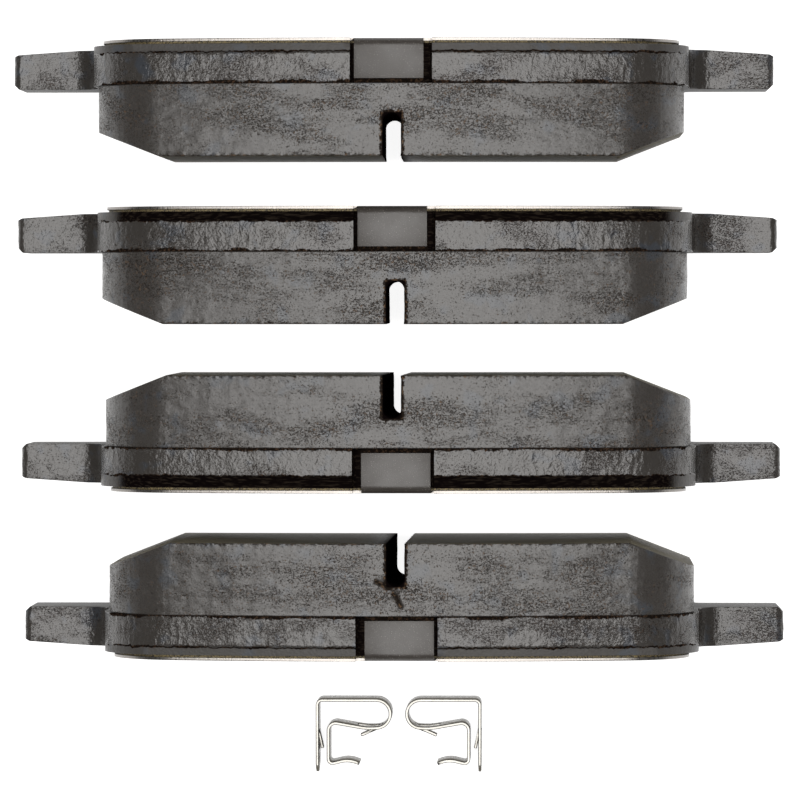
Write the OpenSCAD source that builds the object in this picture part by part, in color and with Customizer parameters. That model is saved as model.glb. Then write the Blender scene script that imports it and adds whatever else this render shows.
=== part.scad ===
// Disc brake pad set: four pads standing on their lower edges in a row, with two
// spring clips lying in front of them. Millimetres, +Z up, origin in the middle of the
// set on the surface that it stands on. X runs along the pads, Y through their thickness.

/* [Pad] */
// Length of a pad over its two ears
pad_length = 124; // [118:0.5:132]
// Width of the plate's body, without the ears
body_width = 95.7; // [92:0.1:100]
// Height of a pad, from its lower edge to its crown
pad_height = 50; // [46:0.5:56]
// Radius of the top edge
crown_radius = 160; // [130:1:220]
// Radius of the hollow lower edge
foot_radius = 380; // [300:10:600]
// Radius of the two upper corners
corner_radius = 14; // [8:0.5:18]
// Thickness of the steel backing plate
plate_thickness = 6.35; // [6:0.05:7]

/* [Ears] */
// Height of an ear's lower face above the pad's lower edge
ear_bottom = 3; // [2:0.5:8]
// Height of an ear, measured up the pad
ear_height = 14.5; // [12:0.5:16]
// Radius of the fillet where an ear's upper face meets the body
ear_root_radius = 4.3; // [3:0.1:5]
// Depth of the bevel on the back of an ear's tip
ear_bevel_depth = 0.7; // [0.4:0.1:1.4]
// Length of that bevel along the ear
ear_bevel_length = 11; // [6:0.5:11]

/* [Notch and tab] */
// Width of the notch in the middle of the plate's top edge
notch_width = 13; // [13:0.1:16]
// How far the notch's middle is from the middle of the pad
notch_offset = -0.4; // [-0.4:0.1:0.4]
// Depth of that notch below the crown
notch_depth = 2.6; // [2.2:0.1:4]
// Width of the shim's folded top tab
tab_width = 11; // [8:0.1:11.5]
// How far forward the tab reaches from the shim's back
tab_reach = 6.4; // [4:0.1:6.7]
// Outer radius of the tab's fold
tab_fold_radius = 1.3; // [0.9:0.1:1.6]

/* [Friction lining] */
// Length of the lining
lining_length = 94.1; // [88:0.1:94.5]
// Thickness of the moulded underlayer that bonds the lining to the plate
underlayer_thickness = 2; // [1.5:0.1:3]
// Thickness of the new friction lining
lining_thickness = 9.55; // [8:0.05:11]
// Height of the lining's lower edge above the plate's lower edge, at the middle
lining_lift = 1.5; // [0.5:0.1:4]
// Depth of the bevel at each end of the lining
end_bevel_depth = 4.1; // [2:0.1:6]
// Length of that bevel
end_bevel_length = 10.5; // [6:0.1:14]
// Width of the slot across the lining
slot_width = 2.85; // [2:0.05:4]
// How far the slot's middle is from the middle of the pad, at the crown
slot_offset = -0.55; // [-1:0.05:1]
// Depth of the slot from the friction face
slot_depth = 6.8; // [5:0.1:8]
// Lean of the slot out of the vertical, in degrees
slot_lean = 0.8; // [0:0.1:2]
// Diameter of the two retention holes that the underlayer is moulded into
retention_diameter = 10; // [8:0.5:12]
// Distance of each retention hole from the middle of the pad
retention_spacing = 27; // [22:0.5:30]

/* [Shim] */
// Length of the shim
shim_length = 92.6; // [86:0.1:93]
// Thickness of the shim's steel
shim_thickness = 0.45; // [0.3:0.05:0.6]
// Thickness of the damping layer between the shim and the plate
damping_thickness = 0.4; // [0.2:0.05:0.6]
// How far the shim's edge stays inside the plate's edge
shim_inset = 0.8; // [0.4:0.1:1.5]
// Width of each of the two lower tabs
lower_tab_width = 8; // [5:0.5:12]
// Distance of each lower tab from the middle of the pad
lower_tab_spacing = 24; // [18:0.5:28]

/* [Spring clips] */
// Thickness of the clip's strip
strip_thickness = 0.5; // [0.4:0.05:0.6]
// Width of the strip, which is the clip's height as it lies
strip_width = 9; // [8:0.5:12]
// Width of the tongue cut out of the strip
tongue_width = 3; // [2:0.1:3.4]
// Gap between the two clips
clip_gap = 2.2; // [1:0.1:6]

/* [Layout] */
// Gap between two pads that lie back to face
row_gap = 7.9; // [4:0.1:20]
// Gap between the two middle linings, which face each other
facing_gap = 8.1; // [4:0.1:30]
// Gap between the last pad and the clips
clip_row_gap = 8.4; // [4:0.1:20]
// Sideways step from one pad to the next
row_step = 0.55; // [0:0.05:1]

/* [Hidden] */
$fn = 96;

// Planes through the thickness of a pad, measured from the shim's back.
plate_back = shim_thickness + damping_thickness;
plate_front = plate_back + plate_thickness;
lining_back = plate_front + underlayer_thickness;
pad_thickness = lining_back + lining_thickness;

// Lower edge: a flat foot at each end, and between them a hollow this deep at the middle.
foot_length = 4;
foot_hollow = foot_radius - sqrt(foot_radius ^ 2 - (body_width / 2 - foot_length) ^ 2);
notch_floor = pad_height - notch_depth;
ear_top = ear_bottom + ear_height;
tab_gap = 0.15;

// Places of the pads' shim backs, and the way each pad faces along Y.
clip_depth = 12.2;
clip_bar_run = 8.95;
clip_leg_bend = 0.8;
clip_back_bend = 2.3;
clip_span = strip_thickness + clip_leg_bend + clip_bar_run + clip_back_bend;
row_length = 4 * pad_thickness + 2 * row_gap + facing_gap + clip_row_gap + clip_depth;
back_1 = row_length / 2;
back_2 = back_1 - pad_thickness - row_gap;
back_3 = back_2 - 2 * pad_thickness - facing_gap;
back_4 = back_3 - pad_thickness - row_gap;
pad_backs = [back_1, back_2, back_3, back_4];
clip_top = back_4 - clip_row_gap;
clip_middle = -0.25;
bend_step = 7.5;

// Small lengths: the overlap of pieces that are one solid, and how far a cut runs past a face.
overlap = 0.01;
past = 1;

plate_color = [0.32, 0.32, 0.33];
lining_color = [0.27, 0.26, 0.25];
underlayer_color = [0.34, 0.27, 0.21];
shim_color = [0.47, 0.45, 0.43];
damping_color = [0.36, 0.31, 0.17];
clip_color = [0.82, 0.81, 0.79];

// Turns a flat profile drawn in X and Z into a slab from y0 to y1.
module slab(y0, y1) {
    translate([0, y1, 0])
        rotate([90, 0, 0])
            linear_extrude(height = y1 - y0)
                children();
}

// Outline of width w with an arched crown at z = top, rounded upper corners and a hollow foot.
module arched_profile(w, top, radius, corner, foot) {
    centre_x = w / 2 - corner;
    centre_z = top - radius + sqrt((radius - corner) ^ 2 - centre_x ^ 2);
    lean = asin(centre_x / (radius - corner));
    difference() {
        intersection() {
            translate([-w / 2, -1])
                square([w, top + 2]);
            translate([0, top - radius])
                circle(r = radius, $fn = 720);
        }
        translate([0, foot - foot_radius])
            circle(r = foot_radius, $fn = 1440);
        for (side = [-1, 1])
            difference() {
                polygon([
                    [side * centre_x, centre_z],
                    [side * (centre_x + 2 * corner * sin(lean)), centre_z + 2 * corner * cos(lean)],
                    [side * (w / 2 + corner), centre_z + 2 * corner],
                    [side * (w / 2 + corner), centre_z]
                ]);
                translate([side * centre_x, centre_z])
                    circle(r = corner);
            }
        translate([-w, -2])
            square([2 * w, 2]);
    }
}

// One ear, drawn from the body's side outwards, with its root fillets and rounded tip.
module ear_profile() {
    root_x = body_width / 2;
    tip_x = pad_length / 2;
    tip_radius = 1.2;
    foot_fillet = 1.6;
    difference() {
        translate([root_x - 2, ear_bottom])
            square([tip_x - root_x + 2, ear_height]);
        for (z = [ear_bottom, ear_top]) {
            inward = z == ear_top ? -tip_radius : tip_radius;
            difference() {
                translate([tip_x - tip_radius, min(z, z + inward)])
                    square([tip_radius + 1, tip_radius]);
                translate([tip_x - tip_radius, z + inward])
                    circle(r = tip_radius);
            }
        }
    }
    difference() {
        translate([root_x - 1, ear_top - 0.5])
            square([ear_root_radius + 1, ear_root_radius + 0.5]);
        translate([root_x + ear_root_radius, ear_top + ear_root_radius])
            circle(r = ear_root_radius);
    }
    difference() {
        translate([root_x - 1, ear_bottom - foot_fillet])
            square([foot_fillet + 1, foot_fillet + 0.5]);
        translate([root_x + foot_fillet, ear_bottom - foot_fillet])
            circle(r = foot_fillet);
    }
}

// Notch in the middle of the plate's top edge, with rounded floor corners.
module notch_profile() {
    floor_radius = 1;
    floor_half = notch_width / 2 - floor_radius;
    translate([notch_offset, notch_floor]) {
        translate([-notch_width / 2, floor_radius])
            square([notch_width, notch_depth + past]);
        translate([-floor_half, 0])
            square([2 * floor_half, floor_radius + past]);
        for (side = [-1, 1])
            translate([side * floor_half, floor_radius])
                circle(r = floor_radius);
    }
}

// Outline of the backing plate, with its ears and notch.
module plate_profile() {
    difference() {
        union() {
            arched_profile(body_width, pad_height, crown_radius, corner_radius, foot_hollow);
            ear_profile();
            mirror([1, 0])
                ear_profile();
        }
        notch_profile();
    }
}

// Bevel on the back of an ear's tip, and its small front corner.
module ear_bevel() {
    tip_x = pad_length / 2;
    bevel_start = tip_x - ear_bevel_length;
    tip_round = 0.7;
    tip_round_depth = 0.8;
    front_corner = 0.8;
    translate([0, 0, ear_bottom - past])
        linear_extrude(height = ear_height + 2 * past) {
            polygon([
                [bevel_start, plate_back - overlap],
                [bevel_start, plate_back - past],
                [tip_x + past, plate_back - past],
                [tip_x + past, plate_back + ear_bevel_depth + tip_round_depth],
                [tip_x - tip_round, plate_back + ear_bevel_depth]
            ]);
            polygon([
                [tip_x - front_corner, plate_front + past],
                [tip_x - front_corner, plate_front],
                [tip_x, plate_front - front_corner],
                [tip_x + past, plate_front - front_corner],
                [tip_x + past, plate_front + past]
            ]);
        }
}

// Stamped steel plate that carries the lining and hangs in the bracket by its ears.
module backing_plate() {
    color(plate_color)
        difference() {
            slab(plate_back, plate_front)
                plate_profile();
            ear_bevel();
            mirror([1, 0, 0])
                ear_bevel();
            for (side = [-1, 1])
                translate([side * retention_spacing, plate_front + past, pad_height / 2])
                    rotate([90, 0, 0])
                        cylinder(h = plate_thickness + 2 * past, d = retention_diameter);
        }
}

// Outline of the underlayer and the lining, set a little below the plate's crown.
module lining_profile() {
    crown_drop = 0.1;
    corner_drop = 0.5;
    arched_profile(
        lining_length,
        pad_height - crown_drop,
        crown_radius - crown_drop,
        corner_radius - corner_drop,
        foot_hollow + lining_lift
    );
}

// What is cut away in plan at both ends of the lining.
module lining_end_bevels() {
    end_x = lining_length / 2;
    bevel_start = end_x - end_bevel_length;
    bevel_back = pad_thickness - end_bevel_depth;
    for (side = [-1, 1])
        translate([0, 0, -past])
            linear_extrude(height = pad_height + 2 * past)
                polygon([
                    [side * (end_x + overlap), bevel_back],
                    [side * bevel_start, pad_thickness],
                    [side * bevel_start, pad_thickness + past],
                    [side * (end_x + past), pad_thickness + past],
                    [side * (end_x + past), bevel_back]
                ]);
}

// The slot's round-bottomed cut, leaning out of the vertical about its place at the crown.
module lining_slot() {
    round_centre = pad_thickness - slot_depth + slot_width / 2;
    cut_length = pad_height + 6 * past;
    translate([slot_offset, 0, pad_height])
        rotate([0, -slot_lean, 0])
            translate([0, 0, 3 * past - cut_length])
                linear_extrude(height = cut_length)
                    translate([0, round_centre]) {
                        translate([-slot_width / 2, 0])
                            square([slot_width, slot_depth + past]);
                        circle(d = slot_width);
                    }
}

// Moulded layer between plate and lining, with the two plugs that fill the plate's holes.
module underlayer() {
    plug_clearance = 0.02;
    color(underlayer_color) {
        slab(plate_front, lining_back)
            lining_profile();
        for (side = [-1, 1])
            translate([side * retention_spacing, plate_front + overlap, pad_height / 2])
                rotate([90, 0, 0])
                    cylinder(h = plate_thickness + overlap, d = retention_diameter - plug_clearance);
    }
}

// Friction material, with bevelled ends and one slot from top to bottom.
module friction_lining() {
    color(lining_color)
        difference() {
            slab(lining_back, pad_thickness)
                lining_profile();
            lining_end_bevels();
            lining_slot();
        }
}

// Outline of the shim's flat sheet, set in from the plate's edge by inset.
module shim_profile(inset) {
    notch_margin = 0.6;
    difference() {
        arched_profile(
            shim_length - 2 * (inset - shim_inset),
            pad_height - inset,
            crown_radius - inset,
            corner_radius - inset,
            foot_hollow + inset
        );
        translate([notch_offset - notch_width / 2, notch_floor - notch_margin])
            square([notch_width, notch_depth + notch_margin + past]);
    }
}

// The folded part of a tab of width w, whose outer face lies at z_outer and which reaches
// forward to y = reach. way is 1 for a tab over the top and -1 for one under the foot.
module folded_tab(w, z_outer, reach, way) {
    fold_z = z_outer - way * tab_fold_radius;
    half_fold = tab_fold_radius + past;
    translate([w / 2, 0, 0])
        rotate([0, -90, 0])
            linear_extrude(height = w) {
                intersection() {
                    translate([fold_z, tab_fold_radius])
                        difference() {
                            circle(r = tab_fold_radius);
                            circle(r = tab_fold_radius - shim_thickness);
                        }
                    translate([way > 0 ? fold_z : fold_z - half_fold, -past])
                        square(half_fold);
                }
                translate([way > 0 ? z_outer - shim_thickness : z_outer, tab_fold_radius - overlap])
                    square([shim_thickness, reach - tab_fold_radius + overlap]);
            }
}

// Steel shim on the plate's back, with its top tab in the notch and two lower tabs.
module shim() {
    top_outer = notch_floor + tab_gap + shim_thickness;
    lower_tab_end = lower_tab_spacing + lower_tab_width / 2;
    foot_drop = foot_radius - sqrt(foot_radius ^ 2 - lower_tab_end ^ 2);
    lower_clear = foot_hollow - foot_drop - tab_gap - shim_thickness;
    height_step = 0.05;
    lower_outer = floor(lower_clear / height_step) * height_step;
    lower_fold = lower_outer + tab_fold_radius;
    lower_tab_reach = 4.5;
    tab_root = 3;
    lower_tab_root = 4;
    color(shim_color) {
        slab(0, shim_thickness) {
            shim_profile(shim_inset);
            translate([-tab_width / 2, notch_floor - tab_root])
                square([tab_width, tab_root + top_outer - tab_fold_radius - notch_floor]);
            for (side = [-1, 1])
                translate([side * lower_tab_spacing - lower_tab_width / 2, lower_fold])
                    square([lower_tab_width, lower_tab_root]);
        }
        folded_tab(tab_width, top_outer, tab_reach, 1);
        for (side = [-1, 1])
            translate([side * lower_tab_spacing, 0, 0])
                folded_tab(lower_tab_width, lower_outer, lower_tab_reach, -1);
    }
}

// Soft layer between the shim and the plate.
module damping_layer() {
    layer_inset = 0.3;
    color(damping_color)
        slab(shim_thickness, plate_back)
            shim_profile(shim_inset + layer_inset);
}

// Stands pad number i (0 to 3) in its place in the row.
module in_row(i) {
    faces_back = i < 2;
    translate([(i - 1.5) * row_step, pad_backs[i], 0])
        rotate([0, 0, faces_back ? 180 : 0])
            children();
}

// Centreline of a strip that runs through steps of [length, bend radius, bend angle], a
// positive angle turning left: a list of [x, y, heading], starting at the given point.
function strip_line(steps, x, y, heading, i = 0) =
    i == len(steps) ? [[x, y, heading]] :
    let (
        run = steps[i][0],
        radius = steps[i][1],
        angle = steps[i][2],
        way = angle < 0 ? -1 : 1,
        bend_x = x + run * cos(heading),
        bend_y = y + run * sin(heading),
        centre_x = bend_x - way * radius * sin(heading),
        centre_y = bend_y + way * radius * cos(heading),
        count = max(1, ceil(abs(angle) / bend_step)),
        bend = [
            for (k = [0 : count])
                let (h = heading + angle * k / count)
                [centre_x + way * radius * sin(h), centre_y - way * radius * cos(h), h]
        ],
        end = bend[count]
    )
    concat(
        run > 0 ? [[x, y, heading]] : [],
        [for (k = [0 : count - 1]) bend[k]],
        strip_line(steps, end[0], end[1], end[2], i + 1)
    );

// Outline of the strip: its centreline moved half a thickness to each side.
function strip_side(line, way) = [
    for (p = line) [
        p[0] - way * strip_thickness / 2 * sin(p[2]),
        p[1] + way * strip_thickness / 2 * cos(p[2])
    ]
];

module strip_profile(steps, start, heading) {
    line = strip_line(steps, start[0], start[1], heading);
    right = strip_side(line, -1);
    left = strip_side(line, 1);
    last = len(line) - 1;
    polygon(concat(right, [for (k = [last : -1 : 0]) left[k]]));
}

// Spring clip, open towards +X: outer leg, top bar, U-bend, return leg, and the inner leg and
// sprung lip that make the channel for an ear. A tongue is cut free of the return leg, and a
// small tab is lanced out of the outer leg.
module spring_clip() {
    half = strip_thickness / 2;
    leg_run = clip_depth - half - clip_leg_bend;
    u_bend = [clip_back_bend, -88];
    return_start = 0.5;
    return_sag = [9, -14];
    return_run = 4.05;
    inner_bend = [1.2, 100];
    inner_run = 4.75;
    lip_bend = [0.7, 104];
    lip_run = 1.3;
    lip_sag = [4, -34];
    lip_end = 0.7;
    tongue_angle = 156;
    tongue_run = 3.9;
    window_play = 0.2;
    tab_root = 5.2;
    tab_run = 3.4;
    tab_lean = 13;
    bend_x = half + clip_leg_bend + clip_bar_run;
    strip = [
        [leg_run, clip_leg_bend, -90],
        [clip_bar_run, u_bend[0], u_bend[1]],
        [0, u_bend[0], u_bend[1]],
        [return_start, return_sag[0], return_sag[1]],
        [return_run, inner_bend[0], inner_bend[1]],
        [inner_run, lip_bend[0], lip_bend[1]],
        [lip_run, lip_sag[0], lip_sag[1]],
        [lip_end, 1, -1]
    ];
    tongue_x = bend_x + clip_back_bend * sin(tongue_angle);
    tongue_y = -half - clip_back_bend * (1 - cos(tongue_angle));
    tongue_z = (strip_width - tongue_width) / 2;
    window_width = tongue_width + 2 * window_play;
    window_depth = 1.6;
    window_y = -5.4;
    root_overlap = 0.15;
    color(clip_color) {
        difference() {
            linear_extrude(height = strip_width)
                strip_profile(strip, [half, -clip_depth], 90);
            translate([tongue_x - tongue_run - window_play, window_y, tongue_z - window_play])
                cube([tongue_run + window_play, window_depth, window_width]);
            translate([-past, -tab_root - tab_run, tongue_z - window_play])
                cube([2 * past, tab_run, window_width]);
            leg_end_corners();
        }
        translate([tongue_x, tongue_y, tongue_z])
            rotate([0, 0, 360 - tongue_angle])
                translate([-root_overlap, -half, 0])
                    cube([tongue_run + root_overlap, strip_thickness, tongue_width]);
        translate([half, root_overlap - tab_root, tongue_z])
            rotate([0, 0, tab_lean - 90])
                translate([0, -half, 0])
                    cube([tab_run, strip_thickness, tongue_width]);
    }
}

// Corners cut off the free end of the clip's outer leg.
module leg_end_corners() {
    corner = 1.1;
    corner_length = 3;
    for (way = [-1, 1])
        translate([2 * past, -clip_depth, way > 0 ? 0 : strip_width])
            rotate([0, -90, 0])
                linear_extrude(height = 4 * past)
                    polygon([
                        [way * corner_length, -past],
                        [way * corner_length, 0],
                        [0, corner],
                        [-way * past, corner],
                        [-way * past, -past]
                    ]);
}

// Lays a clip on the left (side = -1) or on the right (side = 1), each open to the middle.
module clip_at(side) {
    translate([clip_middle + side * (clip_gap / 2 + clip_span), clip_top, 0])
        mirror([side > 0 ? 1 : 0, 0, 0])
            children();
}

in_row(0) backing_plate();  // pad_1_backing_plate
in_row(0) underlayer();  // pad_1_underlayer
in_row(0) friction_lining();  // pad_1_friction_lining
in_row(0) damping_layer();  // pad_1_damping_layer
in_row(0) shim();  // pad_1_shim
in_row(1) backing_plate();  // pad_2_backing_plate
in_row(1) underlayer();  // pad_2_underlayer
in_row(1) friction_lining();  // pad_2_friction_lining
in_row(1) damping_layer();  // pad_2_damping_layer
in_row(1) shim();  // pad_2_shim
in_row(2) backing_plate();  // pad_3_backing_plate
in_row(2) underlayer();  // pad_3_underlayer
in_row(2) friction_lining();  // pad_3_friction_lining
in_row(2) damping_layer();  // pad_3_damping_layer
in_row(2) shim();  // pad_3_shim
in_row(3) backing_plate();  // pad_4_backing_plate
in_row(3) underlayer();  // pad_4_underlayer
in_row(3) friction_lining();  // pad_4_friction_lining
in_row(3) damping_layer();  // pad_4_damping_layer
in_row(3) shim();  // pad_4_shim
clip_at(-1) spring_clip();  // left_clip
clip_at(1) spring_clip();  // right_clip
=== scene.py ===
"""Looks for the disc brake pad set: four pads on edge in a row and two spring clips.

Lengths are in metres. Every pad is described in its own pad coordinates: x along the pad
from its middle, y from the back of its shim towards its friction face, z up from its foot.
"""

import math

import bpy
import numpy as np
from mathutils import Matrix, Vector


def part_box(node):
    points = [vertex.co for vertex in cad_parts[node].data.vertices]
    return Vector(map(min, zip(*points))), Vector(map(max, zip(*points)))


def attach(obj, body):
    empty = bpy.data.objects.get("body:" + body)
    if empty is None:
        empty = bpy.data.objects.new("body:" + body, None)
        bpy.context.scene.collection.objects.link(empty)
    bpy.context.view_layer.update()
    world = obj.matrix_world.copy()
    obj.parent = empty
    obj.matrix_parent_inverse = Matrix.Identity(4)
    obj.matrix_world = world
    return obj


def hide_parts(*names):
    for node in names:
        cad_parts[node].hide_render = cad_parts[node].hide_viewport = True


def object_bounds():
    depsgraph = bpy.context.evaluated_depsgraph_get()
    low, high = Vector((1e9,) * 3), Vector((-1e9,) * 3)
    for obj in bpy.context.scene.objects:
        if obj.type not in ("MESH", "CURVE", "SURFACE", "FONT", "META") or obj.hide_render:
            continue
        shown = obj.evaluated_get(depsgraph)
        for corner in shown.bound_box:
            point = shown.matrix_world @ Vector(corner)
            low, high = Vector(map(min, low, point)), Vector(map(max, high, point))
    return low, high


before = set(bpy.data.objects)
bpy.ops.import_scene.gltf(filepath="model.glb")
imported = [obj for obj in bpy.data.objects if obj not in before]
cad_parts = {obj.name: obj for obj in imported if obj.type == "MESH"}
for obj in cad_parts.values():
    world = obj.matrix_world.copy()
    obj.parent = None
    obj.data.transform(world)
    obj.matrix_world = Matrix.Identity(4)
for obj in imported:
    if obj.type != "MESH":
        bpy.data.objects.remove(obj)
cad_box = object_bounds()

MM = 0.001
PADS = ("pad_1", "pad_2", "pad_3", "pad_4")

# ---------------------------------------------------------------- camera

CROWN = cad_box[1][2]
CAMERA_HEIGHT = 1.0
CAMERA_OFFSET = (24.7 * MM, 18.16 * MM)
AIM = (1.0 * MM, 2.36 * MM)
CROWN_SPAN = 126.582 * MM
SENSOR = 36.0
NEAR, FAR = 0.01, 20


def add_camera():
    """Looks almost straight down on the pads' crowns from a metre above them, with +Y upwards."""
    place = Vector((CAMERA_OFFSET[0], CAMERA_OFFSET[1], CROWN + CAMERA_HEIGHT))
    aim = Vector((AIM[0], AIM[1], CROWN))
    back = (place - aim).normalized()
    up = back.cross(Vector((1, 0, 0))).normalized()
    right = up.cross(back)
    data = bpy.data.cameras.new("camera")
    data.sensor_width = SENSOR
    data.lens = SENSOR * (place - aim).length / CROWN_SPAN
    data.clip_start = NEAR
    data.clip_end = FAR
    camera = bpy.data.objects.new("camera", data)
    camera.location = place
    camera.rotation_euler = Matrix((right, up, back)).transposed().to_euler()
    bpy.context.scene.collection.objects.link(camera)
    bpy.context.scene.camera = camera


add_camera()

# ---------------------------------------------------------------- shader helpers


class Wire:
    """A shader socket that takes part in plain arithmetic."""

    def __init__(self, tree, socket):
        self.tree = tree
        self.socket = socket

    def _math(self, operation, *values):
        maths = self.tree.nodes.new("ShaderNodeMath")
        maths.operation = operation
        for port, value in zip(maths.inputs, values):
            join(self.tree, value, port)
        return Wire(self.tree, maths.outputs[0])

    def __add__(self, other):
        return self._math("ADD", self, other)

    __radd__ = __add__

    def __sub__(self, other):
        return self._math("SUBTRACT", self, other)

    def __rsub__(self, other):
        return self._math("SUBTRACT", other, self)

    def __mul__(self, other):
        return self._math("MULTIPLY", self, other)

    __rmul__ = __mul__


def join(tree, value, port):
    """Links a wire to a port, or sets the port to a plain value."""
    if isinstance(value, Wire):
        tree.links.new(value.socket, port)
    else:
        port.default_value = value


class Finish:
    """One material, its node tree and the ways of adding nodes to it."""

    def __init__(self, name):
        self.material = bpy.data.materials.new(name)
        self.material.use_nodes = True
        self.tree = self.material.node_tree
        self.shader = self.tree.nodes["Principled BSDF"]
        self.place = self.node("ShaderNodeTexCoord", {}, {}, "Object")

    def node(self, kind, settings, sockets, output=0):
        """Adds a node of that kind; settings are set first, then its sockets by name or number."""
        made = self.tree.nodes.new(kind)
        for key, value in settings.items():
            if key == "stops":
                ramp = made.color_ramp
                while len(ramp.elements) < len(value):
                    ramp.elements.new(0.5)
                for element, (spot, colour) in zip(ramp.elements, value):
                    element.position = spot
                    element.color = colour
            else:
                setattr(made, key, value)
        for key, value in sockets.items():
            join(self.tree, value, made.inputs[key])
        return Wire(self.tree, made.outputs[output])

    def noise(
        self, size, detail, roughness, stretch=(1, 1, 1), distortion=0.0, shift=(0, 0, 0)
    ):
        """Noise whose lumps are about size metres across, longer by stretch along each axis."""
        scale = tuple(1 / (size * s) for s in stretch)
        spot = self.node(
            "ShaderNodeMapping", {}, {"Vector": self.place, "Scale": scale, "Location": shift}
        )
        sockets = {"Vector": spot, "Scale": 1.0, "Detail": detail}
        sockets.update({"Roughness": roughness, "Distortion": distortion})
        return self.node("ShaderNodeTexNoise", {}, sockets, "Fac")

    def size_of(self, value):
        """The value without its sign."""
        return self.node("ShaderNodeMath", {"operation": "ABSOLUTE"}, {0: value})

    def limit(self, value):
        """The value held between 0 and 1."""
        return self.node("ShaderNodeClamp", {}, {0: value})

    def step(self, value, low, high, out_low=0.0, out_high=1.0):
        """Smooth step from out_low to out_high as value goes from low to high."""
        return self.node(
            "ShaderNodeMapRange",
            {"interpolation_type": "SMOOTHSTEP"},
            {0: value, 1: low, 2: high, 3: out_low, 4: out_high},
        )

    def blend(self, factor, first, second):
        """Colour first where factor is 0 and second where it is 1."""
        return self.node(
            "ShaderNodeMix", {"data_type": "RGBA"}, {0: factor, 6: first, 7: second}, 2
        )

    def attribute(self, name):
        """One of the numbers that mark() stores on a piece."""
        return self.node("ShaderNodeAttribute", {"attribute_name": name}, {}, "Fac")

    def bump(self, height, distance):
        """A normal tilted by a height pattern that is distance deep."""
        sockets = {"Height": height, "Distance": distance, "Strength": 1.0}
        return self.node("ShaderNodeBump", {}, sockets, "Normal")

    def cover(self, mask, colour, roughness):
        """Lays a dull second surface over the first one where mask is 1."""
        dull = self.tree.nodes.new("ShaderNodeBsdfPrincipled")
        dull.inputs["Specular IOR Level"].default_value = 0.0
        join(self.tree, colour, dull.inputs["Base Color"])
        join(self.tree, roughness, dull.inputs["Roughness"])
        mix = self.tree.nodes.new("ShaderNodeMixShader")
        join(self.tree, mask, mix.inputs[0])
        self.tree.links.new(self.shader.outputs[0], mix.inputs[1])
        self.tree.links.new(dull.outputs[0], mix.inputs[2])
        self.tree.links.new(mix.outputs[0], self.tree.nodes["Material Output"].inputs["Surface"])

    def surface(self, **sockets):
        """Sets or links the shader's own sockets; an underscore in a name stands for a space."""
        for name, value in sockets.items():
            join(self.tree, value, self.shader.inputs[name.replace("_", " ")])
        return self.material


# Near-black used for painted shade: the plates' shaded band and notch, and inside the linings' slot.
NEARLY_BLACK = (0.003, 0.002, 0.002, 1)
DIELECTRIC = 1.5

# ---------------------------------------------------------------- materials


def speckles(f, dense, share, strength):
    """Dark specks and short wavy cracks, thick where dense is high; share is how many there are."""
    fine = f.noise(0.27 * MM, 3, 0.7)
    crowd = (dense - 0.5) * 0.45
    specks = f.step(fine + crowd, 0.645 - share, 0.695 - share)
    wave = f.noise(0.42 * MM, 3, 0.62, stretch=(2.6, 1, 2.6), distortion=0.7)
    line = f.step(f.size_of(wave - 0.5), 0.004, 0.020, 1, 0)
    return f.limit(specks + line * f.step(dense, 0.48, 0.64)) * strength


def joint_line(f):
    """Dark ragged line with thicker rusty lumps where the joint mark is high: a dark joint where
    plate meets moulding, and painted shade at the step along the edge of the plates' rolled band.
    """
    away = 1 - f.attribute("joint")
    grain = f.noise(0.34 * MM, 3, 0.7)
    lumps = f.step(f.noise(2.2 * MM, 3, 0.6, stretch=(3.0, 1, 1)), 0.40, 0.62)
    edge = away + (grain - 0.5) * 0.75 - lumps * 0.40
    return f.step(edge, 0.26, 0.12)


def make_paint():
    """Semi-gloss black paint over a sheared steel edge, with its streaks, pits and rust, and painted
    shade: near-black in the band behind the crown and dark in the notch.
    """
    f = Finish("black_paint")
    wall = f.attribute("wall")
    peel = f.noise(0.40 * MM, 2, 0.5)
    streak = f.noise(0.60 * MM, 2, 0.5, stretch=(1, 1.35, 1), distortion=0.6)
    dense = f.noise(5 * MM, 2, 0.5, stretch=(1.7, 0.9, 1), shift=(2, 2, 6))
    marks = speckles(f, dense + f.attribute("ear") * 0.03, 0.050, 0.74) * (wall * 0.85 + 0.15)
    band = f.attribute("band")
    # Notch floor under the tab, darkened as painted shade.
    hollow = f.attribute("hollow")
    fibre = f.noise(0.30 * MM, 3, 0.6, stretch=(9, 1, 1))
    # Dark marks: specks, joint line and rust, and painted shade in the band behind the crown and in
    # the notch.
    dirt_and_painted_shade = f.limit(marks + joint_line(f) + band + hollow)
    cloud = f.noise(2.5 * MM, 3, 0.6)
    tone = f.blend(cloud, (0.026, 0.0225, 0.0195, 1), (0.038, 0.035, 0.032, 1))
    blue = f.step(f.noise(3.5 * MM, 2, 0.5, shift=(5, 1, 2)), 0.54, 0.68)
    tone = f.blend(blue, tone, (0.032, 0.035, 0.041, 1))
    grain = f.noise(0.45 * MM, 4, 0.7)
    brown = f.step(f.noise(0.40 * MM, 3, 0.6), 0.50, 0.64)
    # Dark brown for dirt and joint lines, and for painted shade on the notch floor under the tab.
    soil_and_shade = f.blend(brown, (0.007, 0.005, 0.004, 1), (0.040, 0.024, 0.015, 1))
    # Near-black of the band behind the crown and beside the tab: painted shade, with faint brown
    # streaks.
    black = f.blend(f.step(fibre, 0.50, 0.64), NEARLY_BLACK, (0.016, 0.012, 0.009, 1))
    f.cover(dirt_and_painted_shade, f.blend(band, soil_and_shade, black), 0.8)
    height = peel * 0.9 + streak * (wall * 0.9) - marks * 0.3
    dull = (1 - wall) * (1 - band) * 0.35
    return f.surface(
        Base_Color=tone,
        Roughness=f.limit(f.step(grain, 0.3, 0.8, 0.19, 0.28) + dull),
        Normal=f.bump(height, 0.075 * MM),
        IOR=DIELECTRIC,
    )


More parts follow.
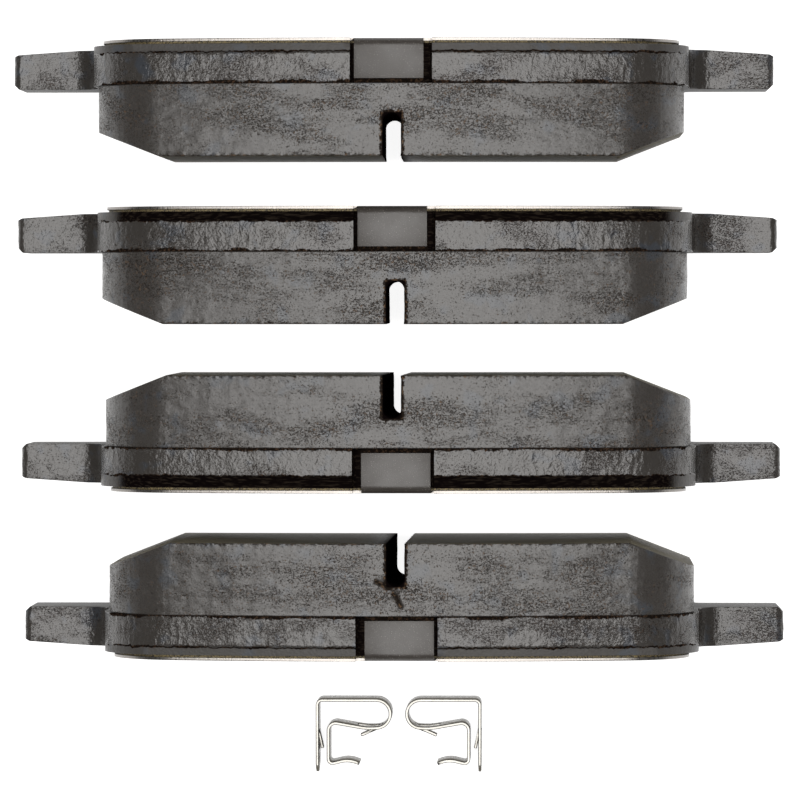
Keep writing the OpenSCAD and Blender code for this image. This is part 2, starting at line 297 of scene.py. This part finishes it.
def make_moulding(name):
    """Moulded material: overspray on its sides, cracks in mid-depth, the ground face, and painted
    shade, near-black inside the slot and dark along the crack.
    """
    f = Finish(name)
    depth = f.attribute("depth")
    face = f.attribute("face")
    grain = f.noise(0.34 * MM, 4, 0.6)
    patch = f.noise(6 * MM, 3, 0.6, stretch=(2.4, 0.7, 1))
    middle = f.step(depth, 0.12, 0.45) * f.step(depth, 0.98, 0.70)
    dense = patch * 0.8 + middle * 0.13 + 0.04
    cut = f.attribute("cut")
    # Ragged dark zone round the slot; near-black inside the slot is painted shade.
    crumbs_and_slot_shade = f.step(cut + (f.noise(0.5 * MM, 3, 0.7) - 0.5) * 1.3, 0.55, 0.75)
    rim = f.step(depth + (f.noise(0.55 * MM, 3, 0.7) - 0.5) * 0.16, 0.985, 1.0)
    marks = speckles(f, dense, 0.055, 0.85)
    # Dark marks: specks, joint line and chips at the rim, with painted shade inside the slot and
    # along the crack.
    dirt_and_painted_shade = f.limit(marks + crumbs_and_slot_shade + f.attribute("split") + joint_line(f) + rim * 0.8)
    cloud = f.noise(3 * MM, 3, 0.6)
    paint = f.blend(cloud, (0.029, 0.0255, 0.0225, 1), (0.041, 0.038, 0.035, 1))
    blue = f.step(f.noise(4 * MM, 2, 0.5, shift=(3, 8, 2)), 0.56, 0.68)
    paint = f.blend(blue, paint, (0.036, 0.039, 0.044, 1))
    specks = f.step(f.noise(0.30 * MM, 2, 0.5, shift=(1, 1, 4)), 0.64, 0.72)
    crumb = f.noise(0.8 * MM, 4, 0.7)
    ground = f.blend(crumb, (0.070, 0.060, 0.038, 1), (0.125, 0.110, 0.072, 1))
    ground = f.blend(specks, ground, (0.24, 0.22, 0.16, 1))
    brown = f.step(f.noise(0.6 * MM, 3, 0.6, shift=(4, 4, 4)), 0.52, 0.66)
    # Dark brown for dirt, joints and chips, and painted shade along the crack.
    soil_and_shade = f.blend(brown, (0.012, 0.009, 0.007, 1), (0.095, 0.060, 0.036, 1))
    # The cover is near-black inside the slot as painted shade, and dark brown elsewhere.
    f.cover(dirt_and_painted_shade * (1 - face), f.blend(f.step(cut, 0.9, 0.98), soil_and_shade, NEARLY_BLACK), 0.85)
    height = grain * 0.6 - marks * 0.4
    return f.surface(
        Base_Color=f.blend(face, paint, ground),
        Roughness=f.limit(f.step(grain, 0.3, 0.7, 0.24, 0.34) + face * 0.4),
        Normal=f.bump(height, 0.040 * MM),
        IOR=DIELECTRIC,
    )


def make_coating():
    """Warm grey rubber coating on the shim, with a fine light sparkle."""
    f = Finish("shim_coating")
    sparkle = f.step(f.noise(0.15 * MM, 1, 0.5), 0.68, 0.74)
    cloud = f.noise(4 * MM, 3, 0.6)
    colour = f.blend(cloud, (0.030, 0.026, 0.023, 1), (0.050, 0.044, 0.039, 1))
    colour = f.blend(sparkle * 0.6, colour, (0.36, 0.34, 0.31, 1))
    worn = f.step(f.noise(9 * MM, 3, 0.6, shift=(1, 6, 3)), 0.30, 0.72, 0.10, 0.32)
    f.cover(worn, colour, 0.6)
    return f.surface(
        Base_Color=colour,
        Roughness=f.step(cloud, 0.3, 0.7, 0.30, 0.38),
        Normal=f.bump(f.noise(0.18 * MM, 2, 0.5), 0.02 * MM),
        IOR=DIELECTRIC,
    )


def make_cut_steel():
    """Bright sheared edge of thin steel."""
    f = Finish("cut_steel")
    shear = f.noise(0.25 * MM, 3, 0.6, stretch=(1, 6, 1))
    colour = f.blend(shear, (0.16, 0.145, 0.13, 1), (0.33, 0.315, 0.30, 1))
    return f.surface(
        Base_Color=colour,
        Metallic=1.0,
        Roughness=f.step(shear, 0.2, 0.8, 0.22, 0.42),
        Normal=f.bump(shear, 0.02 * MM),
    )


def make_damping():
    """Granular olive-gold layer behind the shim."""
    f = Finish("damping")
    grains = f.noise(0.22 * MM, 3, 0.7)
    colour = f.blend(f.step(grains, 0.4, 0.6), (0.012, 0.009, 0.005, 1), (0.17, 0.13, 0.055, 1))
    return f.surface(
        Base_Color=colour,
        Roughness=f.step(grains, 0.3, 0.7, 0.75, 0.5),
        Normal=f.bump(grains, 0.10 * MM),
    )


def make_spring_steel():
    """Dull rolled stainless strip."""
    f = Finish("spring_steel")
    roll = f.noise(0.30 * MM, 3, 0.6, stretch=(1, 1, 8))
    colour = f.blend(f.noise(2 * MM, 2, 0.5), (0.17, 0.165, 0.150, 1), (0.25, 0.245, 0.230, 1))
    return f.surface(
        Base_Color=colour,
        Metallic=1.0,
        Specular_Tint=(0.30, 0.29, 0.27, 1),
        Roughness=f.step(roll, 0.3, 0.7, 0.12, 0.22),
        Normal=f.bump(roll, 0.008 * MM),
    )


PAINT = make_paint()
LINING = make_moulding("friction_material")
UNDERLAYER = make_moulding("underlayer")
COATING = make_coating()
CUT_STEEL = make_cut_steel()
DAMPING = make_damping()
SPRING_STEEL = make_spring_steel()

# ---------------------------------------------------------------- mesh helpers

WELD = 0.002 * MM
COPLANAR = math.radians(0.3)
SHARP = math.radians(40)
CUT_TOLERANCE = 0.0001 * MM
WALL_TILT = 0.7
SHOULDER_DROP = 10 * MM
HALVINGS = 12
PAD_SMOOTH, STRIP_SMOOTH = 50, 35


def only(piece):
    """Selects one piece and makes it active."""
    bpy.ops.object.select_all(action="DESELECT")
    piece.select_set(True)
    bpy.context.view_layer.objects.active = piece


def in_edit(piece, *steps):
    """Runs edit-mode steps on all of one piece."""
    only(piece)
    bpy.ops.object.mode_set(mode="EDIT")
    bpy.ops.mesh.select_all(action="SELECT")
    for step in steps:
        step()
    bpy.ops.object.mode_set(mode="OBJECT")


def weld_and_flatten(piece):
    """Joins a piece's loose triangles and merges those that lie in one plane."""
    in_edit(
        piece,
        lambda: bpy.ops.mesh.remove_doubles(threshold=WELD),
        lambda: bpy.ops.mesh.dissolve_limited(angle_limit=COPLANAR),
    )


def slice_piece(piece, spot, across, **settings):
    """Cuts a piece on the plane through spot that has across as its normal."""
    in_edit(
        piece,
        lambda: bpy.ops.mesh.bisect(
            plane_co=spot, plane_no=across, threshold=CUT_TOLERANCE, **settings
        ),
    )


def select_only(piece, kind, chosen):
    """Selects the chosen vertices, edges or faces of a piece and no others."""
    mesh = piece.data
    for other in ("vertices", "edges", "polygons"):
        items = getattr(mesh, other)
        picked = chosen if other == kind else np.zeros(len(items), bool)
        items.foreach_set("select", picked)


def apply_modifier(piece, kind, **settings):
    """Adds a modifier, sets it and applies it."""
    only(piece)
    modifier = piece.modifiers.new(kind.lower(), kind)
    for key, value in settings.items():
        setattr(modifier, key, value)
    bpy.ops.object.modifier_apply(modifier=modifier.name)


def read(items, name, width=1, kind=float):
    """One property of all of a mesh's vertices, edges or faces, as an array."""
    values = np.empty(len(items) * width, kind)
    items.foreach_get(name, values)
    return values.reshape(-1, width) if width > 1 else values


def points_of(piece):
    return read(piece.data.vertices, "co", 3)


def move_points(piece, places):
    piece.data.vertices.foreach_set("co", places.ravel())
    piece.data.update()


def mark(piece, name, values):
    """Stores one number per vertex for the piece's material."""
    layer = piece.data.attributes.new(name, "FLOAT", "POINT")
    layer.data.foreach_set("value", values.astype(np.float32))


def group(piece, name, weights):
    """Vertex group that says where a relief shows and how strongly, in steps of a tenth."""
    made = piece.vertex_groups.new(name=name)
    tenths = np.round(np.clip(weights, 0, 1) * 10).astype(int)
    for tenth in range(1, 11):
        made.add(np.flatnonzero(tenths == tenth).tolist(), tenth / 10, "REPLACE")
    return name


def smooth_step(values, low, high):
    """0 below low, 1 above high, and an even curve between."""
    part = np.clip((values - low) / (high - low), 0, 1)
    return part * part * (3 - 2 * part)


def own_copy(piece, name):
    """The same shape again as a separate piece with its own mesh."""
    other = piece.copy()
    other.data = piece.data.copy()
    other.name = name
    bpy.context.scene.collection.objects.link(other)
    return other


def copy_of_node(node, name):
    """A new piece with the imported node's shape, its loose triangles merged."""
    piece = own_copy(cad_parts[node], name)
    piece.parent = None
    piece.matrix_world.identity()
    for key in list(piece.keys()):
        del piece[key]
    piece.data.materials.clear()
    weld_and_flatten(piece)
    return piece


def bevelled(piece, width, segments=2, clamp=True):
    """Breaks the sharp edges of a piece by that many millimetres."""
    apply_modifier(
        piece,
        "BEVEL",
        width=width * MM,
        segments=segments,
        limit_method="ANGLE",
        angle_limit=SHARP,
        use_clamp_overlap=clamp,
    )


def grid_walls(piece, spacing):
    """Cuts the faces that run round a piece's edge on evenly spaced planes across X, Y and Z."""
    bpy.context.tool_settings.mesh_select_mode = (False, False, True)
    places = points_of(piece)
    low, high = places.min(axis=0), places.max(axis=0)
    shoulder = high[2] - SHOULDER_DROP
    caps = np.abs(read(piece.data.polygons, "normal", 3)[:, 1]) >= WALL_TILT
    only(piece)
    select_only(piece, "polygons", caps)
    bpy.ops.object.mode_set(mode="EDIT")
    bpy.ops.mesh.hide(unselected=False)
    for axis, top in ((0, high[0]), (1, high[1]), (2, shoulder)):
        across = [0.0, 0.0, 0.0]
        across[axis] = 1.0
        count = max(1, round((top - low[axis]) / spacing))
        for cut in range(1, count):
            spot = [0.0, 0.0, 0.0]
            spot[axis] = low[axis] + (top - low[axis]) * cut / count
            bpy.ops.mesh.select_all(action="SELECT")
            bpy.ops.mesh.bisect(plane_co=spot, plane_no=across, threshold=CUT_TOLERANCE)
    bpy.ops.mesh.reveal(select=False)
    bpy.ops.object.mode_set(mode="OBJECT")


def split_walls(piece, longest):
    """Halves the edges of the faces that run round a piece's edge until none is over longest."""
    bpy.context.tool_settings.mesh_select_mode = (False, True, False)
    mesh = piece.data
    for _ in range(HALVINGS):
        ends = read(mesh.edges, "vertices", 2, int)
        places = points_of(piece)
        long_edge = np.linalg.norm(places[ends[:, 0]] - places[ends[:, 1]], axis=1) > longest
        wall = np.abs(read(mesh.polygons, "normal", 3)[:, 1]) < WALL_TILT
        of_face = np.repeat(np.arange(len(wall)), read(mesh.polygons, "loop_total", 1, int))
        on_wall = np.zeros(len(ends), bool)
        on_wall[read(mesh.loops, "edge_index", 1, int)[wall[of_face]]] = True
        chosen = long_edge & on_wall
        if not chosen.any():
            break
        only(piece)
        select_only(piece, "edges", chosen)
        bpy.ops.object.mode_set(mode="EDIT")
        bpy.ops.mesh.subdivide(number_cuts=1, ngon=False)
        bpy.ops.object.mode_set(mode="OBJECT")


def relief_map(name, size, contrast=1.0):
    """Cloudy height map whose lumps are about size metres across."""
    texture = bpy.data.textures.new(name, "CLOUDS")
    texture.noise_scale = size
    texture.noise_depth = 2
    texture.contrast = contrast
    return texture


def raise_relief(piece, texture, height, where, stretch, turn):
    """Pushes faces in and out by a height map, stretched along each axis, shifted by turn."""
    ruler = bpy.data.objects.new("ruler", None)
    ruler.scale = stretch
    ruler.location = (0.3 * turn, 0.1 * turn, 0)
    bpy.context.scene.collection.objects.link(ruler)
    bpy.context.view_layer.update()
    apply_modifier(
        piece,
        "DISPLACE",
        texture=texture,
        texture_coords="OBJECT",
        texture_coords_object=ruler,
        strength=height,
        mid_level=0.5,
        vertex_group=where,
    )
    bpy.data.objects.remove(ruler)


def smooth_shaded(piece, angle):
    """Shades a piece smooth but for edges over that angle in degrees."""
    only(piece)
    bpy.ops.object.shade_smooth_by_angle(angle=math.radians(angle))


def finish_piece(piece, material, body, slot, *nodes):
    """Gives a piece its material, ties it to its body and hides its CAD nodes; slot is not used."""
    if material is not None:
        piece.data.materials.clear()
        piece.data.materials.append(material)
    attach(piece, body)
    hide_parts(*nodes)


# ---------------------------------------------------------------- pad coordinates


class PadPlace:
    """Where one pad stands in the row, and the way it faces."""

    def __init__(self, pad):
        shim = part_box(pad + "_shim")
        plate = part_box(pad + "_backing_plate")
        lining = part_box(pad + "_friction_lining")
        self.way = 1 if lining[0][1] > shim[0][1] else -1
        self.back = shim[0][1] if self.way > 0 else shim[1][1]
        self.middle = (plate[0][0] + plate[1][0]) / 2

    def to_pad(self, places):
        local = places.copy()
        local[:, 0] = (places[:, 0] - self.middle) * self.way
        local[:, 1] = (places[:, 1] - self.back) * self.way
        return local

    def to_row(self, local):
        places = local.copy()
        places[:, 0] = local[:, 0] * self.way + self.middle
        places[:, 1] = local[:, 1] * self.way + self.back
        return places


PLACE = {pad: PadPlace(pad) for pad in PADS}
MODEL_PAD = "pad_3"


def in_pad(node):
    """Lowest and highest corner of one of the model pad's nodes, in pad coordinates."""
    corners = np.array([list(corner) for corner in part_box(MODEL_PAD + "_" + node)])
    local = PLACE[MODEL_PAD].to_pad(corners)
    return local.min(axis=0), local.max(axis=0)


PLATE_LOW, PLATE_HIGH = in_pad("backing_plate")
UNDER_LOW = in_pad("underlayer")[0]
LINING_LOW, LINING_HIGH = in_pad("friction_lining")
SHIM_HIGH = in_pad("shim")[1]
MID_HEIGHT = 30 * MM


def modelled(node):
    """Copy of one of the model pad's nodes, with its points in pad coordinates."""
    piece = copy_of_node(MODEL_PAD + "_" + node, "model_" + node)
    move_points(piece, PLACE[MODEL_PAD].to_pad(points_of(piece)))
    return piece


def placed(model, pad, node):
    """Copy of a modelled piece, stood in its pad's place in the row."""
    piece = own_copy(model, pad + "_" + node + "_look")
    move_points(piece, PLACE[pad].to_row(points_of(piece)))
    return piece


def walls_of(piece):
    """1 at the points of walls that run round the edge, down to 0 on the front and back."""
    normals = read(piece.data.vertex_normals, "vector", 3)
    return smooth_step(1 - np.abs(normals[:, 1]), 0.25, 0.6)


# ---------------------------------------------------------------- plates

GRID = 1.0 * MM
WALL_STEP = 0.27 * MM
CROWN_RADIUS = 160 * MM
TAB_HALF = 5.5 * MM
SLIM_ROLL = (1.3, 0.40, 0.12)
ROLL = {
    "pad_1": SLIM_ROLL,
    "pad_2": (1.5, 0.12, 0.75),
    "pad_3": (1.9, 0.12, 0.85),
    "pad_4": SLIM_ROLL,
}
ROLL_REACH = 0.5 * MM
RAGGED = 0.09 * MM
EDGE_FALL = 0.14 * MM
EDGE_LINE = 0.40 * MM
PLATE_BEVEL, PLATE_BEVEL_STEPS = 0.30, 3
EAR_TIP_BEVEL, EAR_TIP_STEPS = 0.54 * MM, 5
EAR_TIP_REACH = 1.5 * MM
UPRIGHT_RUN = 2 * MM
UPRIGHT_LEAN = 0.01 * MM
SHORTEST_WAVE, LONGEST_WAVE, WAVE_COUNT = 0.6 * MM, 6 * MM, 9
# Pads whose band behind the crown is painted near-black: painted shade in the gap between plate and
# shim.
DARK_BAND = ("pad_2", "pad_3")
# Where a mark fades in or out, from 0 to 1.
CROWN_FADE = (MID_HEIGHT, 42 * MM)
BAND_FADE = (46 * MM, 43 * MM)
EAR_FADE = (49 * MM, 51 * MM)
NOTCH_DROP_FADE = (0.35 * MM, 0.9 * MM)
NOTCH_SIDE_FADE = (7.4 * MM, 6.6 * MM)
NOTCH_HEIGHT_FADE = (40 * MM, 44 * MM)

PEEL = relief_map("peel", 0.9 * MM, 1.6)
WAVES = relief_map("waves", 4 * MM)
STREAKS = relief_map("streaks", 0.8 * MM, 1.8)
FLAKES = relief_map("flakes", 0.7 * MM, 2.0)
CHIPS = relief_map("chips", 0.9 * MM, 2.5)

EVEN = (1, 1, 1)
# Height map, its height, the vertex group it acts on, its stretch and its shift.
PLATE_RELIEF = (
    (WAVES, 0.10 * MM, "walls", EVEN, 0),
    (STREAKS, 0.06 * MM, "rough", (1, 1.6, 1), 0),
    (PEEL, 0.05 * MM, "rough", EVEN, 0),
)


def make_plates():
    model = modelled("backing_plate")
    round_ear_tips(model)
    bevelled(model, PLATE_BEVEL, PLATE_BEVEL_STEPS)
    grid_walls(model, GRID)
    split_walls(model, WALL_STEP)
    for turn, pad in enumerate(PADS):
        piece = own_copy(model, pad + "_backing_plate_look")
        roll_back_edge(piece, turn, *ROLL[pad])
        local = points_of(piece)
        wall = walls_of(piece)
        edge = PLATE_LOW[1] + ROLL[pad][0] * MM + RAGGED * ragged(local[:, 0], turn)
        beyond = smooth_step(local[:, 1] - edge, -EDGE_FALL / 2, EDGE_FALL / 2)
        on_crown = smooth_step(local[:, 2], *CROWN_FADE)
        behind = on_crown * (1 - beyond)
        group(piece, "rough", wall * (1 - behind))
        group(piece, "walls", wall)
        mark(piece, "wall", wall * (1 - behind))
        hollow = notch_floor(local)
        # On pads 2 and 3 the band behind the crown is painted near-black: painted shade between plate
        # and shim.
        band = behind * smooth_step(np.abs(local[:, 0]), *BAND_FADE) * (pad in DARK_BAND)
        # Beside the tab the notch floor is painted near-black: painted shade.
        beside_tab = hollow * (np.abs(local[:, 0]) > TAB_HALF)
        mark(piece, "band", np.maximum(band, beside_tab))
        from_joint = np.clip((PLATE_HIGH[1] - local[:, 1]) / MM, 0, 1)
        # Near the moulding the dark line is a real joint; along the rolled band's edge it is painted
        # shade at the step.
        from_edge = np.clip(np.abs(local[:, 1] - edge) / EDGE_LINE, 0, 1)
        mark(piece, "joint", (1 - np.minimum(from_joint, from_edge)) * on_crown)
        mark(piece, "ear", smooth_step(np.abs(local[:, 0]), *EAR_FADE))
        mark(piece, "hollow", hollow)
        move_points(piece, PLACE[pad].to_row(local))
        for texture, height, where, stretch, shift in PLATE_RELIEF:
            raise_relief(piece, texture, height, where, stretch, turn + shift)
        smooth_shaded(piece, PAD_SMOOTH)
        finish_piece(piece, PAINT, pad, "black_paint", pad + "_backing_plate")
    bpy.data.objects.remove(model)


def round_ear_tips(piece):
    """Rounds the upright edges at the ears' tips."""
    bpy.context.tool_settings.mesh_select_mode = (False, True, False)
    places = points_of(piece)
    ends = read(piece.data.edges, "vertices", 2, int)
    run = np.abs(places[ends[:, 0]] - places[ends[:, 1]])
    upright = (run[:, 2] > UPRIGHT_RUN) & (run[:, :2].max(axis=1) < UPRIGHT_LEAN)
    at_tip = np.abs(places[ends[:, 0], 0]) > PLATE_HIGH[0] - EAR_TIP_REACH
    only(piece)
    select_only(piece, "edges", upright & at_tip)
    bpy.ops.object.mode_set(mode="EDIT")
    bpy.ops.mesh.bevel(offset=EAR_TIP_BEVEL, segments=EAR_TIP_STEPS, affect="EDGES")
    bpy.ops.object.mode_set(mode="OBJECT")


def ragged(x, seed):
    """An uneven line between about -1 and 1 along the pad, from many small waves."""
    draw = np.random.default_rng(seed)
    line = np.zeros(len(x))
    for length in np.geomspace(SHORTEST_WAVE, LONGEST_WAVE, WAVE_COUNT):
        line += np.sin(2 * math.pi * x / length + draw.uniform(0, 2 * math.pi))
    return line / math.sqrt(WAVE_COUNT)


def crown_height(x):
    """Height of the crown's arc above the foot, without its rounded corners."""
    return PLATE_HIGH[2] - CROWN_RADIUS + np.sqrt(CROWN_RADIUS**2 - x**2)


def roll_back_edge(piece, turn, width, step, fall):
    """Sets the crown's back edge down in a band: a small step, then an even fall to the back."""
    edge = PLATE_LOW[1] + width * MM
    for shift in (-EDGE_FALL / 2, EDGE_FALL / 2):
        slice_piece(piece, (0, edge + shift, 0), (0, 1, 0))
    local = points_of(piece)
    near = np.clip(1 - np.abs(local[:, 1] - edge) / ROLL_REACH, 0, 1)
    sway = near * RAGGED * ragged(local[:, 0], turn)
    upper = local[:, 2] > MID_HEIGHT
    local[:, 1] += sway * upper
    edge = edge + sway
    part = np.clip((edge - local[:, 1]) / (width * MM), 0, 1)
    drop = smooth_step(edge - local[:, 1], -EDGE_FALL / 2, EDGE_FALL / 2) * step + fall * part
    limit = np.where(upper & (drop > 0), crown_height(local[:, 0]) - drop * MM, np.inf)
    local[:, 2] = np.minimum(local[:, 2], limit)
    move_points(piece, local)


def notch_floor(local):
    """1 in the notch under the tab, which the paint darkens as painted shade."""
    low = smooth_step(crown_height(local[:, 0]) - local[:, 2], *NOTCH_DROP_FADE)
    near = smooth_step(np.abs(local[:, 0]), *NOTCH_SIDE_FADE)
    high = smooth_step(local[:, 2], *NOTCH_HEIGHT_FADE)
    return low * near * high


# ---------------------------------------------------------------- linings

LINING_BEVEL, LINING_BEVEL_STEPS = 0.10, 1
LINING_CROWN_FADE = (MID_HEIGHT, 40 * MM)
MIDDLE_IN, MIDDLE_OUT = (0.15, 0.40), (0.97, 0.85)
RIM_WIDTH = 0.8 * MM
SLOT_FLOOR = LINING_HIGH[1] - 6.8 * MM
SLOT_HALF = 1.425 * MM
SLOT_OFFSET = -0.55 * MM
SLOT_LEAN = math.radians(0.8)
SLOT_MARGIN = 0.05 * MM
# Reach of the slot's dark marking round the slot and below its floor: near-black painted shade inside
# the slot, with a ragged dark edge round it.
SLOT_DIRT_AND_SHADE = 1.3 * MM
SLOT_DIRT_AND_SHADE_BELOW = 1.0 * MM
# The crack's corners in millimetres, from beside the slot's end down to the plate.
CRACKED_PAD = "pad_4"
CRACK = ((-3.65, 12.75), (-1.85, 11.75), (-0.45, 10.35), (0.30, 8.75))
CRACK_FADE = (0.40 * MM, 0.12 * MM)
CRACK_DEPTH = 0.30 * MM
LINING_RELIEF = (
    (WAVES, 0.12 * MM, "walls", EVEN, 0),
    (PEEL, 0.03 * MM, "walls", EVEN, 4),
    (FLAKES, 0.04 * MM, "flaky", (2.5, 1, 2.5), 0),
    (CHIPS, 0.16 * MM, "rim", EVEN, 0),
)


def make_linings():
    model = modelled("friction_lining")
    under = modelled("underlayer")
    apply_modifier(model, "BOOLEAN", operation="UNION", solver="EXACT", object=under)
    bpy.data.objects.remove(under)
    weld_and_flatten(model)
    bevelled(model, LINING_BEVEL, LINING_BEVEL_STEPS)
    grid_walls(model, GRID)
    split_walls(model, WALL_STEP)
    for turn, pad in enumerate(PADS):
        whole = own_copy(model, pad + "_moulding")
        local = points_of(whole)
        wall = walls_of(whole)
        depth = (local[:, 1] - UNDER_LOW[1]) / (LINING_HIGH[1] - UNDER_LOW[1])
        on_crown = smooth_step(local[:, 2], *LINING_CROWN_FADE)
        middle = smooth_step(depth, *MIDDLE_IN) * smooth_step(depth, *MIDDLE_OUT)
        rim = smooth_step(local[:, 1], LINING_HIGH[1] - RIM_WIDTH, LINING_HIGH[1])
        group(whole, "walls", wall)
        group(whole, "flaky", wall * middle)
        group(whole, "rim", wall * rim)
        front = read(whole.data.vertex_normals, "vector", 3)[:, 1]
        mark(whole, "depth", np.clip(depth, 0, 1))
        from_slot = np.abs(local[:, 0] - slot_middle(local)) - SLOT_HALF
        mark(whole, "face", smooth_step(front, 0.5, 0.75) * (from_slot >= SLOT_MARGIN))
        from_joint = np.clip((local[:, 1] - UNDER_LOW[1]) / MM, 0, 1)
        mark(whole, "joint", (1 - from_joint) * on_crown)
        # Marks the slot's walls, which the material paints near-black as shade.
        above_floor = smooth_step(local[:, 1], SLOT_FLOOR - SLOT_DIRT_AND_SHADE_BELOW, SLOT_FLOOR)
        mark(whole, "cut", smooth_step(from_slot, SLOT_DIRT_AND_SHADE, -SLOT_MARGIN) * above_floor)
        # The crack's dark line is painted shade in the crack, over a shallow groove.
        split = crack_line(local) if pad == CRACKED_PAD else np.zeros(len(local))
        mark(whole, "split", split * wall)
        crack = group(whole, "crack", split * wall)
        move_points(whole, PLACE[pad].to_row(local))
        for texture, height, where, stretch, shift in LINING_RELIEF:
            raise_relief(whole, texture, height, where, stretch, turn + shift)
        if pad == CRACKED_PAD:
            settings = {"strength": -CRACK_DEPTH, "mid_level": 0.0, "vertex_group": crack}
            apply_modifier(whole, "DISPLACE", **settings)
        cut_moulding(whole, pad)
    bpy.data.objects.remove(model)


def slot_middle(local):
    """Where the slot's middle is along the pad, at each point's height."""
    return SLOT_OFFSET + (PLATE_HIGH[2] - local[:, 2]) * math.tan(SLOT_LEAN)


def crack_line(local):
    """1 along the crack that runs from the slot's end to the plate, 0 beside it; the material darkens
    it there as painted shade in the crack.
    """
    near = np.full(len(local), 1.0)
    for (x0, y0), (x1, y1) in zip(CRACK, CRACK[1:]):
        start = np.array((x0, y0)) * MM
        along = np.array((x1 - x0, y1 - y0)) * MM
        part = np.clip((local[:, :2] - start) @ along / (along @ along), 0, 1)
        gap = np.linalg.norm(local[:, :2] - start - part[:, None] * along, axis=1)
        near = np.minimum(near, gap)
    return smooth_step(near, *CRACK_FADE) * (local[:, 2] > MID_HEIGHT)


def cut_moulding(whole, pad):
    """Parts the moulding into its underlayer and its friction lining."""
    joint = PLACE[pad].to_row(np.array([[0.0, LINING_LOW[1], 0.0]]))[0]
    way = PLACE[pad].way
    under = own_copy(whole, pad + "_underlayer_look")
    whole.name = pad + "_friction_lining_look"
    for piece, keep in ((whole, 1), (under, -1)):
        slice_piece(piece, joint, (0, way * keep, 0), use_fill=True, clear_inner=True)
        smooth_shaded(piece, PAD_SMOOTH)
    finish_piece(whole, LINING, pad, "friction_material", pad + "_friction_lining")
    finish_piece(under, UNDERLAYER, pad, "underlayer", pad + "_underlayer")


# ---------------------------------------------------------------- shims

SHIM_SHEET = 0.5 * MM
SHIM_BEVEL = 0.07
DAMPING_BEVEL, DAMPING_BEVEL_STEPS = 0.05, 1
FOLD_HEIGHT = 1.6 * MM


def make_shims():
    model = modelled("shim")
    bevelled(model, SHIM_BEVEL)
    smooth_shaded(model, STRIP_SMOOTH)
    for pad in PADS:
        piece = placed(model, pad, "shim")
        piece.data.materials.append(COATING)
        piece.data.materials.append(CUT_STEEL)
        for polygon in piece.data.polygons:
            polygon.material_index = 1 if is_cut(polygon, PLACE[pad]) else 0
        finish_piece(piece, None, pad, "coated_steel", pad + "_shim")
    bpy.data.objects.remove(model)
    model = modelled("damping_layer")
    bevelled(model, DAMPING_BEVEL, DAMPING_BEVEL_STEPS)
    for pad in PADS:
        piece = placed(model, pad, "damping_layer")
        finish_piece(piece, DAMPING, pad, "damping", pad + "_damping_layer")
    bpy.data.objects.remove(model)


def is_cut(polygon, place):
    """True on the sheared edges of the shim, which are bare steel; its faces and folds are coated."""
    spot = Vector(polygon.center)
    past_sheet = (spot.y - place.back) * place.way > SHIM_SHEET
    if past_sheet:
        return abs(polygon.normal.x) > 0.6 or abs(polygon.normal.y) > 0.7
    on_fold = abs(spot.x - place.middle) < TAB_HALF and spot.z > SHIM_HIGH[2] - FOLD_HEIGHT
    return abs(polygon.normal.y) < 0.5 and not on_fold


# ---------------------------------------------------------------- clips

CLIP_BEVEL, CLIP_BEVEL_STEPS = 0.12, 3


def make_clips():
    for side in ("left", "right"):
        piece = copy_of_node(side + "_clip", side + "_clip_look")
        bevelled(piece, CLIP_BEVEL, CLIP_BEVEL_STEPS, clamp=False)
        smooth_shaded(piece, STRIP_SMOOTH)
        finish_piece(piece, SPRING_STEEL, side + "_clip", "spring_steel", side + "_clip")


make_plates()
make_linings()
make_shims()
make_clips()

# ---------------------------------------------------------------- floor and light

FLOOR_SIZE = 6
FLOOR_GLOW = 0.88
WORLD_GLOW = 0.12
LIGHT_COLOUR = (1.0, 0.985, 0.97)
SOFTBOX_PLACE = (0.02, 0.02, 1.25)
SOFTBOX_SIZE = 1.10
SOFTBOX_POWER = 20.6


def add_floor():
    bpy.ops.object.select_all(action="DESELECT")
    bpy.ops.mesh.primitive_plane_add(size=FLOOR_SIZE, location=(0, 0, 0))
    floor = bpy.context.object
    floor.name = "floor"
    f = Finish("floor_white")
    speck = f.noise(0.4, 2, 0.5)
    floor.data.materials.append(
        f.surface(
            Base_Color=f.blend(speck, (0.50, 0.50, 0.50, 1), (0.53, 0.53, 0.53, 1)),
            Roughness=0.9,
            Specular_IOR_Level=0.0,
            Emission_Color=(1, 1, 1, 1),
            Emission_Strength=FLOOR_GLOW,
        )
    )


def add_light(name, place, size, power):
    """A square softbox that shines at the middle of the set's foot."""
    data = bpy.data.lights.new(name, "AREA")
    data.shape = "SQUARE"
    data.size = size
    data.energy = power
    data.color = LIGHT_COLOUR
    light = bpy.data.objects.new(name, data)
    light.location = place
    light.rotation_euler = (-Vector(place)).to_track_quat("-Z", "Y").to_euler()
    bpy.context.scene.collection.objects.link(light)


def add_studio():
    add_floor()
    add_light("overhead_softbox", SOFTBOX_PLACE, SOFTBOX_SIZE, SOFTBOX_POWER)
    world = bpy.data.worlds.new("studio")
    bpy.context.scene.world = world
    world.use_nodes = True
    sky = world.node_tree.nodes["Background"]
    sky.inputs["Color"].default_value = (1, 1, 1, 1)
    sky.inputs["Strength"].default_value = WORLD_GLOW
    bpy.context.scene.view_settings.view_transform = "Standard"
    bpy.context.scene.view_settings.look = "None"


add_studio()
